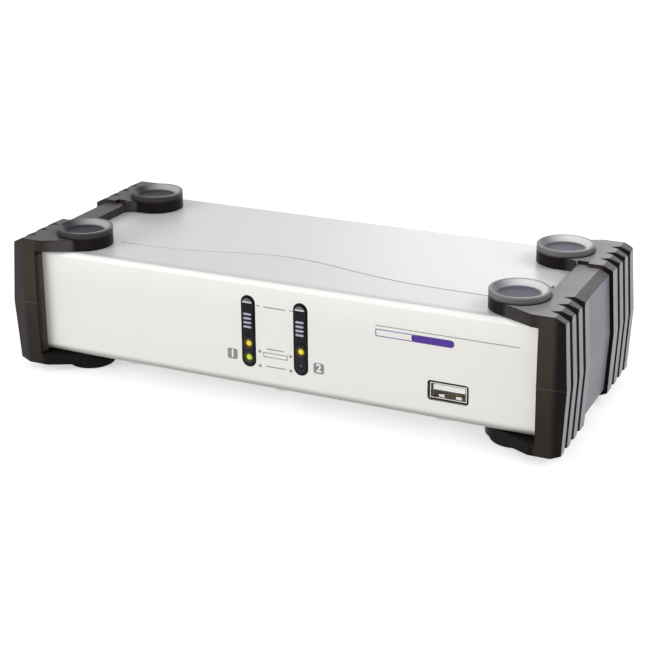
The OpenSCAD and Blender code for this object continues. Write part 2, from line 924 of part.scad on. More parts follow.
module port_button(s) {
    face = case_front - button_proud;
    color(jet)
        at_xz(s * pill_pitch / 2, pill_z) {
            along_y(face, flange_y + eps) button_outline(button_gap);
            // Retaining flange behind the holder, and the stem that meets the switch
            along_y(flange_y, flange_y + flange_t)
                translate([0, button_z - pill_z])
                    square([inner_w + 2 * flange_reach, inner_top - split_z - 1], center = true);
            at_xz(0, button_z - pill_z)
                rod_y(plunger_r, flange_y, switch_y - plunger_out - stem_gap);
            // Grip ribs
            for (i = [0 : grip_n - 1])
                at_xz(0, grip_up + (i - (grip_n - 1) / 2) * grip_pitch)
                    along_y(face - grip_h, face + eps)
                        polygon(rounded(rectangle(grip_w, grip_t), grip_r, 3));
            // Raised nose above the lip
            along_y(face - nose_h, face + eps)
                intersection() {
                    offset_pill();
                    translate([-pill_w, nose_up]) square([2 * pill_w, pill_h]);
                }
        }
}

// Outline of the raised nose, a little inside the button
module offset_pill() {
    inset = button_gap + nose_in;
    pill(inner_w - 2 * inset, inner_top - inner_bottom - 2 * inset);
}

module key_switch(s) {
    bottom = switch_y + plunger_in + button_travel + plunger_rest;
    color(jet)
        at_xz(s * pill_pitch / 2, button_z)
            difference() {
                along_y(switch_y, front_board_y) square(switch_w, center = true);
                rod_y(plunger_r + plunger_fit, switch_y - 1, bottom);
            }
}

module key_plunger(s) {
    color("dimgray")
        at_xz(s * pill_pitch / 2, button_z) rod_y(plunger_r, switch_y - plunger_out, switch_y + plunger_in);
}

module lamp_window(s) {
    color(smoke)
        at_xz(s * pill_pitch / 2, pill_z)
            difference() {
                union() {
                    along_y(case_front, panel_in + sheet_fit + holder_t) window_outline(window_gap);
                    along_y(case_front - window_pad, case_front + eps) window_outline(window_pad_in);
                }
                for (i = [0, 1])
                    at_xz(0, -lamp_down - i * lamp_pitch)
                        rod_y(lamp_d / 2 + lamp_gap, case_front - 1, panel_in + 3);
            }
}

// Round-topped lamp on two leads, pointing out of the front
module lamp(s, row, tint) {
    tip = case_front - window_pad - lamp_set;
    r = lamp_d / 2;
    back = tip + lamp_len;
    color(tint)
        at_xz(s * pill_pitch / 2, lamp_z - row * lamp_pitch) {
            translate([0, tip + r, 0]) sphere(r);
            rod_y(r, tip + r, back);
            rod_y(lamp_flange_r, back - lamp_flange_t, back);
            for (x = [-lead_pitch / 2, lead_pitch / 2])
                at_xz(x, 0) along_y(back - eps, front_board_y) square(lead_w, center = true);
        }
}

// Flat serial socket, its mouth at y = 0 and its body towards +Y
module usb_shell() {
    color(steel)
        difference() {
            union() {
                along_y(0, usb_len) polygon(rounded(rectangle(usb_w, usb_h), usb_r, 3));
                along_y(0, usb_flare_t)
                    polygon(rounded(rectangle(usb_w + 2 * usb_flare, usb_h + 2 * usb_flare), usb_r, 3));
            }
            difference() {
                along_y(-1, usb_len - usb_t)
                    polygon(rounded(rectangle(usb_w - 2 * usb_t, usb_h - 2 * usb_t), usb_r - usb_t, 3));
                // Sprung tabs in the floor of the mouth
                for (s = [-1, 1])
                    translate([s * spring_pitch / 2 - spring_w / 2, spring_in, usb_t - usb_h / 2 - eps])
                        cube([spring_w, spring_len, spring_h]);
            }
        }
}

module usb_tongue() {
    top = usb_h / 2 - usb_t - tongue_drop;
    back = usb_len - usb_t;
    fit = 0.02;
    inner_w = usb_w - 2 * (usb_t + fit);
    inner_h = usb_h - 2 * (usb_t + fit);
    color("ivory") {
        along_y(back - plug_back, back)
            polygon(rounded(rectangle(inner_w, inner_h), usb_r - usb_t, 3));
        translate([-tongue_w / 2, back - plug_back - tongue_len, top - tongue_h])
            cube([tongue_w, tongue_len + eps, tongue_h]);
    }
}

module usb_contacts() {
    top = usb_h / 2 - usb_t - tongue_drop - tongue_h;
    back = usb_len - usb_t - plug_back;
    color("gold")
        for (i = [0 : contact_n - 1])
            at_xz((i - (contact_n - 1) / 2) * contact_pitch, top - contact_t / 2)
                along_y(back - contact_len, back) square([contact_w, contact_t], center = true);
}

module front_socket_place() {
    translate([front_socket_x, case_front + usb_set, usb_z]) children();
}

module rear_socket_place() {
    translate([rear_socket_x, case_rear - usb_set, usb_z]) rotate([0, 0, 180]) children();
}

// Metal face of a stacked video pair with its two D-shaped shells
module video_shield(x) {
    y0 = rear_in - shield_t;
    color(steel)
        difference() {
            union() {
                translate([x - flange_w / 2, y0, mid_z - video_pitch / 2 - flange_h / 2])
                    cube([flange_w, shield_t, video_pitch + flange_h]);
                for (z = video_zs) at_xz(x, z) along_y(y0, case_rear + video_out) d_outline(0);
            }
            for (z = video_zs) {
                at_xz(x, z) along_y(y0 - 1, case_rear + conn_out + 1) d_outline(-d_wall);
                for (s = [-1, 1])
                    at_xz(x + s * jack_pitch / 2, z) rod_y(jack_stud_r + jack_fit, y0 - 1, rear_in + 1);
            }
        }
}

// Moulded body behind the metal face of a stacked video pair
module video_housing(x) {
    back = rear_in - shield_t;
    top = video_pitch / 2 + flange_h / 2;
    color(jet)
        difference() {
            translate([x - flange_w / 2, back - housing_d, board_top])
                cube([flange_w, housing_d, mid_z + top - board_top]);
            for (z = video_zs, s = [-1, 1])
                at_xz(x + s * jack_pitch / 2, z)
                    rod_y(jack_stud_r + jack_fit, rear_in - jack_stud_l - 1, rear_in);
        }
}

// Coloured inserts in the D-shaped shells, each with three staggered rows of pin holes
module video_faces() {
    face = case_rear + video_out - d_recess;
    color("royalblue")
        for (x = video_xs, z = video_zs)
            at_xz(x, z)
                difference() {
                    along_y(rear_in - shield_t, face) d_outline(-d_wall - d_fit);
                    for (row = [0 : pin_rows - 1], col = [0 : pin_cols - 1])
                        at_xz((col - (pin_cols - 1) / 2 + (row % 2 - 0.5) / 2) * pin_pitch_x,
                            (row - (pin_rows - 1) / 2) * pin_pitch_z)
                            rod_y(pin_r, face - pin_deep, face + 1);
                }
}

module jack_screws() {
    color(steel)
        for (x = video_xs, z = video_zs, s = [-1, 1])
            at_xz(x + s * jack_pitch / 2, z)
                difference() {
                    union() {
                        along_y(case_rear, case_rear + jack_out) circle(jack_hex_r, $fn = 6);
                        rod_y(jack_stud_r, rear_in - jack_stud_l, case_rear + eps);
                    }
                    rod_y(jack_hole_r, case_rear + jack_out - jack_deep, case_rear + jack_out + 1);
                }
}

module sound_jack(x, z, tint) {
    mouth = case_rear + sound_out;
    lip_r = sound_nose_r - sound_bevel;
    color(tint)
        at_xz(x, z)
            difference() {
                union() {
                    along_y(rear_in - sound_len, rear_in) square([sound_w, sound_h], center = true);
                    rod_y(sound_nose_r, rear_in - eps, mouth - sound_bevel);
                    translate([0, mouth, 0])
                        rotate([90, 0, 0])
                            cylinder(r1 = lip_r, r2 = sound_nose_r, h = sound_bevel + eps);
                }
                rod_y(sound_bore_r, mouth - sound_bore_l, mouth + 1);
            }
}

// Body of a round socket with the well that takes the plug's shell
module din_socket(z, tint) {
    mouth = case_rear + din_out;
    color(tint)
        at_xz(din_x, z)
            difference() {
                union() {
                    along_y(rear_in - din_len, rear_in) square([din_w, din_h], center = true);
                    rod_y(din_nose_r, rear_in - eps, mouth);
                }
                rod_y(din_ring_r, mouth - din_deep, mouth + 1);
            }
}

// Core that stands in the well, with six pin holes and the slot for the plug's key
module din_core(z, tint) {
    mouth = case_rear + din_out;
    pin_n = 6;
    color(tint)
        at_xz(din_x, z)
            difference() {
                rod_y(din_ring_r - din_ring_w, mouth - din_deep, mouth - din_core_in);
                for (i = [0 : pin_n - 1])
                    at_xz(din_pin_circle * sin(i * 360 / pin_n), din_pin_circle * cos(i * 360 / pin_n))
                        rod_y(din_pin_r, mouth - din_pin_deep, mouth + 1);
                along_y(mouth - din_pin_deep, mouth + 1) square([din_key_w, din_key_h], center = true);
            }
}

module port_shell(x) {
    mouth = case_rear + port_out;
    color(steel)
        at_xz(x, port_z)
            difference() {
                along_y(mouth - port_len, mouth) square([port_w, port_h], center = true);
                along_y(mouth - port_deep, mouth + 1) port_outline(0);
            }
}

module port_tongue(x) {
    mouth = case_rear + port_out;
    color("ivory")
        at_xz(x, port_z)
            along_y(mouth - port_deep, mouth - port_deep + port_tongue_len)
                square([port_tongue_w, port_tongue_h], center = true);
}

module power_jack() {
    mouth = case_rear + power_out;
    color(jet)
        at_xz(power_x, power_z)
            difference() {
                union() {
                    along_y(rear_in - power_len, rear_in) square([power_w, power_h], center = true);
                    rod_y(power_nose_r, rear_in - eps, mouth);
                }
                rod_y(power_bore_r, mouth - power_deep, mouth + 1);
            }
}

module power_pin() {
    mouth = case_rear + power_out;
    color(steel)
        at_xz(power_x, power_z) {
            rod_y(power_pin_r, mouth - power_deep, mouth - power_pin_in);
            translate([0, mouth - power_pin_in, 0]) sphere(power_pin_r);
        }
}

top_cover();
chassis();
rear_panel();
end_cap_left();
end_cap_right();
foot(-1, -1);  // foot_front_left
foot(1, -1);  // foot_front_right
foot(-1, 1);  // foot_rear_left
foot(1, 1);  // foot_rear_right
cap_screws();
cover_screws();
main_board();
board_standoffs();
board_screws();
board_chips();
front_board();
board_header();
button_holder();
port_button(-1);  // port_button_1
port_button(1);  // port_button_2
key_switch(-1);  // key_switch_1
key_switch(1);  // key_switch_2
key_plunger(-1);  // key_plunger_1
key_plunger(1);  // key_plunger_2
lamp_window(-1);  // lamp_window_1
lamp_window(1);  // lamp_window_2
lamp(-1, 0, amber);  // online_lamp_1
lamp(1, 0, amber);  // online_lamp_2
lamp(-1, 1, lime);  // link_lamp_1
lamp(1, 1, lime);  // link_lamp_2
front_socket_place() usb_shell();  // front_socket_shell
front_socket_place() usb_tongue();  // front_socket_tongue
front_socket_place() usb_contacts();  // front_socket_contacts
video_shield(console_video_x);  // console_video_shield
video_housing(console_video_x);  // console_video_housing
video_shield(second_video_x);  // second_video_shield
video_housing(second_video_x);  // second_video_housing
video_shield(first_video_x);  // first_video_shield
video_housing(first_video_x);  // first_video_housing
video_faces();
jack_screws();
sound_jack(console_sound_x, console_sound_zs[1], mint);  // console_speaker_jack
sound_jack(console_sound_x, console_sound_zs[0], pink);  // console_mic_jack
sound_jack(second_sound_xs[1], sound_z, mint);  // second_speaker_jack
sound_jack(second_sound_xs[0], sound_z, pink);  // second_mic_jack
sound_jack(first_sound_xs[1], sound_z, mint);  // first_speaker_jack
sound_jack(first_sound_xs[0], sound_z, pink);  // first_mic_jack
din_socket(din_zs[0], violet);  // keyboard_socket
din_core(din_zs[0], violet);  // keyboard_core
din_socket(din_zs[1], mint);  // mouse_socket
din_core(din_zs[1], mint);  // mouse_core
port_shell(second_column_x);  // second_port_shell
port_tongue(second_column_x);  // second_port_tongue
port_shell(first_column_x);  // first_port_shell
port_tongue(first_column_x);  // first_port_tongue
rear_socket_place() usb_shell();  // rear_socket_shell
rear_socket_place() usb_tongue();  // rear_socket_tongue
power_jack();
power_pin();
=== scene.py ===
"""Finishes, panel print, studio and camera for the desktop switch box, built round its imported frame."""

import json
import math

import bmesh
import bpy
from mathutils import Matrix, Vector


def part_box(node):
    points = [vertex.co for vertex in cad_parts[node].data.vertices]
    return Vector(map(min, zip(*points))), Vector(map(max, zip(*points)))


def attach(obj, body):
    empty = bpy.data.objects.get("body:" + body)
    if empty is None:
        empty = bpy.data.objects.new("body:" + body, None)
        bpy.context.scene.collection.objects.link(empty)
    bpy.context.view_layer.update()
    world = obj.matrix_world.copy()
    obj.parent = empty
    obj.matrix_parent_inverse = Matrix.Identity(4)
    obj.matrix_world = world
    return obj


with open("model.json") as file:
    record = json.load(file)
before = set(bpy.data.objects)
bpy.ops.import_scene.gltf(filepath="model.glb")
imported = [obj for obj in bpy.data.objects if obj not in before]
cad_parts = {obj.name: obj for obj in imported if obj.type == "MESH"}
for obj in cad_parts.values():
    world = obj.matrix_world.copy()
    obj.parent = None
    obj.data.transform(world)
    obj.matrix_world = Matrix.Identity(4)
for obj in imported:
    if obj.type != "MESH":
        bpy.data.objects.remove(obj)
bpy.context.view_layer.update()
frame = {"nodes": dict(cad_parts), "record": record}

MM = 0.001
NODES = frame["nodes"]

# Places on the object that finishes and prints follow, in metres
cover_low, cover_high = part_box("top_cover")
cap_low, cap_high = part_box("end_cap_right")
foot_low, foot_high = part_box("foot_front_right")
button_low, button_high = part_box("port_button_1")
FRONT = cover_low.y
MID_Z = (cover_low.z + cover_high.z) / 2
CAP_GAP = 0.2 * MM
CAP_IN = cover_high.x + CAP_GAP
CAP_Y = (cap_low.y + cap_high.y) / 2
CUP_X = (foot_low.x + foot_high.x) / 2
CUP_Y = CAP_Y - (foot_low.y + foot_high.y) / 2
CUP_R = 10.15 * MM
CUP_TOP = cap_high.z


def centre(node):
    low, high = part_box(node)
    return (low + high) / 2


def shade(color, factor):
    """The colour made darker or lighter by a factor."""
    return tuple(min(1.0, factor * c) for c in color)


# Building blocks of the finishes

# Likeness of the rounded and the flat direction where an edge starts, and where it is full
EDGE_STARTS = 0.98
EDGE_FULL = 0.85


class Finish:
    """A Principled material with short calls for the nodes that give it its detail."""

    def __init__(self, name, color, roughness, **sockets):
        self.material = bpy.data.materials.new(name)
        self.material.use_nodes = True
        self.nodes = self.material.node_tree.nodes
        self.links = self.material.node_tree.links
        self.shader = self.nodes["Principled BSDF"]
        self.put("Base Color", (*color, 1))
        self.put("Roughness", roughness)
        for socket, value in sockets.items():
            self.put(socket.replace("_", " "), value)
        self.place = self.nodes.new("ShaderNodeTexCoord").outputs["Object"]

    def put(self, socket, value):
        self.shader.inputs[socket].default_value = value

    def drive(self, socket, output):
        self.links.new(output, self.shader.inputs[socket])

    def painted(self):
        """What drives the base colour so far."""
        return self.shader.inputs["Base Color"].links[0].from_socket

    def node(self, kind, inputs, **settings):
        """A node of that kind with its inputs set or linked, by name or by number."""
        made = self.nodes.new("ShaderNode" + kind)
        for key, value in settings.items():
            setattr(made, key, value)
        for key, value in inputs.items():
            if isinstance(value, bpy.types.NodeSocket):
                self.links.new(value, made.inputs[key])
            else:
                made.inputs[key].default_value = value
        return made

    # Patterns and directions

    def noise(self, size, detail=2.0, stretch=(1, 1, 1)):
        """Noise from 0 to 1 with features of that size in metres, longer along an axis of low stretch."""
        place = self.node("Mapping", {"Vector": self.place, "Scale": stretch}).outputs["Vector"]
        made = self.node("TexNoise", {"Vector": place, "Scale": 1 / size, "Detail": detail})
        return made.outputs["Fac"]

    def speckle(self, size):
        """Cells of about that size in metres, each with a value of its own."""
        return self.node("TexVoronoi", {"Vector": self.place, "Scale": 1 / size}).outputs["Color"]

    def axis(self, name):
        return self.node("SeparateXYZ", {"Vector": self.place}).outputs[name]

    def facing(self, name):
        """Part of the surface's direction along an axis."""
        normal = self.node("NewGeometry", {}).outputs["Normal"]
        return self.node("SeparateXYZ", {"Vector": normal}).outputs[name]

    def edge(self, width):
        """1 along sharp edges, within about that width in metres."""
        rounded = self.node("Bevel", {"Radius": width}).outputs["Normal"]
        flat = self.node("NewGeometry", {}).outputs["Normal"]
        likeness = self.node("VectorMath", {0: rounded, 1: flat}, operation="DOT_PRODUCT")
        return self.step(likeness.outputs["Value"], EDGE_STARTS, EDGE_FULL)

    # Sums and masks

    def calc(self, operation, a, b=0.0):
        return self.node("Math", {0: a, 1: b}, operation=operation).outputs[0]

    def off(self, value, middle):
        """How far a value is from a middle, either way."""
        return self.calc("ABSOLUTE", self.calc("SUBTRACT", value, middle))

    def length(self, a, b):
        square = self.calc("ADD", self.calc("POWER", a, 2.0), self.calc("POWER", b, 2.0))
        return self.calc("SQRT", square)

    def distance_to(self, x, z):
        """Distance from an axis along Y, in metres."""
        from_x = self.calc("SUBTRACT", self.axis("X"), x)
        from_z = self.calc("SUBTRACT", self.axis("Z"), z)
        return self.length(from_x, from_z)

    def step(self, value, low, high):
        """0 where value is at low, 1 where it is at high, smooth between them."""
        made = self.node("MapRange", {"Value": value, "From Min": low, "From Max": high})
        made.interpolation_type = "SMOOTHSTEP"
        return made.outputs["Result"]

    def span(self, value, low, high):
        """A value from 0 to 1 spread from low to high."""
        made = self.node("MapRange", {"Value": value, "To Min": low, "To Max": high})
        return made.outputs["Result"]

    def both(self, *masks):
        """1 where every mask is 1."""
        result = masks[0]
        for mask in masks[1:]:
            result = self.calc("MULTIPLY", result, mask)
        return result

    def either(self, a, b):
        """1 where one of the masks is 1."""
        return self.calc("MAXIMUM", a, b)

    def inverse(self, mask):
        return self.calc("SUBTRACT", 1.0, mask)

    def part(self, mask, share):
        """A mask weakened to that share."""
        return self.calc("MULTIPLY", mask, share)

    def mix(self, factor, a, b):
        """Colour a where factor is 0 and b where it is 1."""
        made = self.node("Mix", {"Factor": factor}, data_type="RGBA")
        for socket, value in (("A", a), ("B", b)):
            port = next(i for i in made.inputs if i.name == socket and i.type == "RGBA")
            if isinstance(value, bpy.types.NodeSocket):
                self.links.new(value, port)
            else:
                port.default_value = (*value, 1)
        return next(o for o in made.outputs if o.type == "RGBA")

    def bump(self, height, depth, edge=0.0):
        """Relief of that depth. Sharp edges shine as if rounded to the edge radius, where one is given."""
        made = self.node("Bump", {"Height": height, "Distance": depth})
        if edge:
            rounded = self.node("Bevel", {"Radius": edge}).outputs["Normal"]
            self.links.new(rounded, made.inputs["Normal"])
        self.drive("Normal", made.outputs["Normal"])


def moulded(name, color, roughness, grain=0.35 * MM, depth=0.006 * MM, **sockets):
    """Moulded plastic: a fine eroded grain, a slow change of tone and of gloss."""
    f = Finish(name, color, roughness, **sockets)
    eroded = f.noise(grain, detail=3.0)
    tone = f.noise(14 * MM, detail=3.0)
    f.drive("Base Color", f.mix(tone, shade(color, 0.86), shade(color, 1.12)))
    f.drive("Roughness", f.span(eroded, roughness - 0.06, roughness + 0.08))
    f.bump(eroded, depth)
    return f


def plated(name, color, roughness, stretch=(1, 1, 1)):
    """Plated or rolled metal with fine drawing lines and a faint cloud in its gloss."""
    f = Finish(name, color, roughness, Metallic=1.0)
    lines = f.noise(0.25 * MM, detail=3.0, stretch=stretch)
    cloud = f.noise(3 * MM)
    f.drive("Base Color", f.mix(cloud, shade(color, 0.9), color))
    f.drive("Roughness", f.span(lines, roughness - 0.08, roughness + 0.12))
    f.bump(lines, 0.003 * MM)
    return f


# Finishes of the flat sockets

DRAWN = (1, 0.12, 1)
BRIGHT_PLATING = (0.92, 0.91, 0.89)
RIM_SHADE = (0.02, 0.02, 0.018)
RIM_INNER = 0.55 * MM
RIM_OUTER = 0.4 * MM
RIM_DEPTH = 0.5 * MM
RIM_DEPTH_FULL = 0.3 * MM


def rimmed_socket(name, node):
    """Plated shell whose outer rim at its front face is painted dark: painted shade of the gap round the
    shell.
    """
    f = plated(name, BRIGHT_PLATING, 0.24, DRAWN)
    low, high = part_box(node)
    middle = (low + high) / 2
    half = high - middle
    face = low.y if low.y < 0 else high.y
    at_face = f.step(f.off(f.axis("Y"), face), RIM_DEPTH, RIM_DEPTH_FULL)
    beside = f.step(f.off(f.axis("X"), middle.x), half.x - RIM_INNER, half.x - RIM_OUTER)
    above = f.step(f.off(f.axis("Z"), middle.z), half.z - RIM_INNER, half.z - RIM_OUTER)
    rim = f.both(at_face, f.either(beside, above))
    # Painted shade on the outer rim of the shell's front face
    f.drive("Base Color", f.mix(rim, f.painted(), RIM_SHADE))
    return f


# Finishes of the metal case

WHITE = (1.0, 1.0, 1.0)
SILVER = (0.80, 0.795, 0.765)
# Painted light and shade over the silver paint: cool light on top, light high on the front, a highlight on
# the upper fold, shade behind that fold, before and along the pressed line, and at the lower fold
COOL_TOP_LIGHT = (0.785, 0.78, 0.80)
UPPER_FRONT_LIGHT = (0.90, 0.895, 0.87)
FOLD_HIGHLIGHT = (0.98, 0.98, 0.97)
SHADE_BEHIND_FOLD = (0.42, 0.42, 0.43)
SHADE_BEFORE_CREASE = (0.5, 0.5, 0.5)
CREASE_SHADE_LEFT = (0.62, 0.62, 0.63)
CREASE_SHADE_RIGHT = (0.40, 0.40, 0.41)
LOWER_FOLD_SHADE = (0.16, 0.16, 0.15)

# How strongly each of these tones covers the paint
COOL_LIGHT_SHARE = 0.75
UPPER_FRONT_LIGHT_SHARE = 0.5
BEHIND_FOLD_SHARE = 0.3
BEFORE_CREASE_SHARE = 0.1
LOWER_FOLD_SHADE_SHARE = 0.62

# Where the tones of the front start and end, from the upper or lower edge or from the front
BEND_R = 2.4 * MM
UPPER_FRONT_LIGHT_FROM = 13 * MM
SHADE_FULL = 2.8 * MM
SHADE_END = 4.6 * MM
LOWER_SHADE_FULL = 1.2 * MM
LOWER_SHADE_END = 3.4 * MM

# The pressed line across the top: how far it lies behind the front, and its one swing to the rear
CREASE_IN = 18.0 * MM
CREASE_SWING = 9.4 * MM
CREASE_X = -7.0 * MM
CREASE_SPREAD = 32.0 * MM


def silver_paint(name, color):
    """Satin silver paint: fine flakes, a soft orange peel and a faint cloud."""
    f = Finish(name, color, 0.4, Metallic=0.12)
    flake = f.speckle(0.16 * MM)
    cloud = f.noise(40 * MM)
    peel = f.noise(0.9 * MM, detail=1.0)
    base = f.mix(cloud, shade(color, 0.975), color)
    f.drive("Base Color", f.mix(f.span(flake, 0.0, 0.05), base, WHITE))
    f.drive("Roughness", f.span(flake, 0.35, 0.44))
    f.bump(peel, 0.003 * MM)
    return f


def behind_crease(f):
    """Distance in metres behind the pressed line that sweeps across the top."""
    share = f.calc("DIVIDE", f.calc("SUBTRACT", f.axis("X"), CREASE_X), CREASE_SPREAD)
    bell = f.calc("EXPONENT", f.calc("MULTIPLY", f.calc("POWER", share, 2.0), -1.0))
    line = f.calc("ADD", f.calc("MULTIPLY", bell, CREASE_SWING), FRONT + CREASE_IN)
    return f.calc("SUBTRACT", f.axis("Y"), line)


def creased(f, color, upward):
    """The colour of the top with painted shade along its sunk pressed line, and a little painted shade
    before that line.
    """
    past = behind_crease(f)
    before = f.both(f.step(upward, 0.9, 0.97), f.step(past, 0.6 * MM, 0.2 * MM))
    color = f.mix(f.part(before, BEFORE_CREASE_SHARE), color, SHADE_BEFORE_CREASE)
    depth = f.calc("SUBTRACT", cover_high.z, f.axis("Z"))
    # Painted shade in the sunk pressed line, lighter to the left
    on_line = f.step(f.off(past, 0.0), 0.8 * MM, 0.6 * MM)
    sunk = f.both(f.step(depth, 0.05 * MM, 0.15 * MM), f.step(depth, 0.6 * MM, 0.4 * MM))
    tone = f.mix(f.step(f.axis("X"), -40 * MM, 25 * MM), CREASE_SHADE_LEFT, CREASE_SHADE_RIGHT)
    return f.mix(f.both(on_line, sunk), color, tone)


def folded_sheet():
    """Silver paint of the cover with painted light and shade: cool light on top, light high on the front,
    a highlight on the upper fold, shade behind that fold, before and along the pressed line, and at the
    lower fold.
    """
    f = silver_paint("silver_paint", SILVER)
    y, z = f.axis("Y"), f.axis("Z")
    upward, rearward = f.facing("Z"), f.facing("Y")
    # Painted cool light on the top
    top = f.step(upward, 0.6, 0.95)
    color = f.mix(f.part(top, COOL_LIGHT_SHARE), f.painted(), COOL_TOP_LIGHT)
    # Painted light on the front, strongest just under the upper fold
    below_fold = f.step(z, cover_high.z - UPPER_FRONT_LIGHT_FROM, cover_high.z - BEND_R)
    front = f.both(f.step(rearward, -0.8, -0.95), below_fold)
    color = f.mix(f.part(front, UPPER_FRONT_LIGHT_SHARE), color, UPPER_FRONT_LIGHT)
    near_front = f.step(y, FRONT + SHADE_END, FRONT + SHADE_FULL)
    past_fold = f.both(f.step(upward, 0.82, 0.93), near_front)
    color = f.mix(f.part(past_fold, BEHIND_FOLD_SHARE), color, SHADE_BEHIND_FOLD)
    color = creased(f, color, upward)
    # Painted highlight on the upper fold, except where the shade behind it lies
    upper = f.both(f.step(upward, 0.08, 0.35), f.step(rearward, -0.15, -0.45))
    color = f.mix(f.both(upper, f.inverse(past_fold)), color, FOLD_HIGHLIGHT)
    # Painted shade on the lower fold and the lowest few millimetres of the front
    low_edge = f.step(z, cover_low.z + LOWER_SHADE_END, cover_low.z + LOWER_SHADE_FULL)
    lower = f.either(f.step(upward, -0.05, -0.6), low_edge)
    f.drive("Base Color", f.mix(f.part(lower, LOWER_FOLD_SHADE_SHARE), color, LOWER_FOLD_SHADE))
    return f


# Finish of the end caps

CAP_BLACK = (0.008, 0.007, 0.008)
# OLIVE is painted light that comes through the thin plastic of the bars
OLIVE = (0.051, 0.041, 0.034)
# INNER_WALL_LIGHT is painted light on the bars' inner walls near the case
INNER_WALL_LIGHT = (0.115, 0.090, 0.058)
ARM_FROM = cover_high.z - 2 * MM
SIDE_BLEND = 60 * MM
BAR_THIN = 4.4 * MM
BAR_THICK = 7.0 * MM
PANEL_Y = -0.9 * MM
PANEL_HALF = 14.1 * MM
GLINT_R = CUP_R - 0.8 * MM

# Direction across the cups that leads away from the key light
AWAY_X = 0.6
AWAY_Y = 0.75


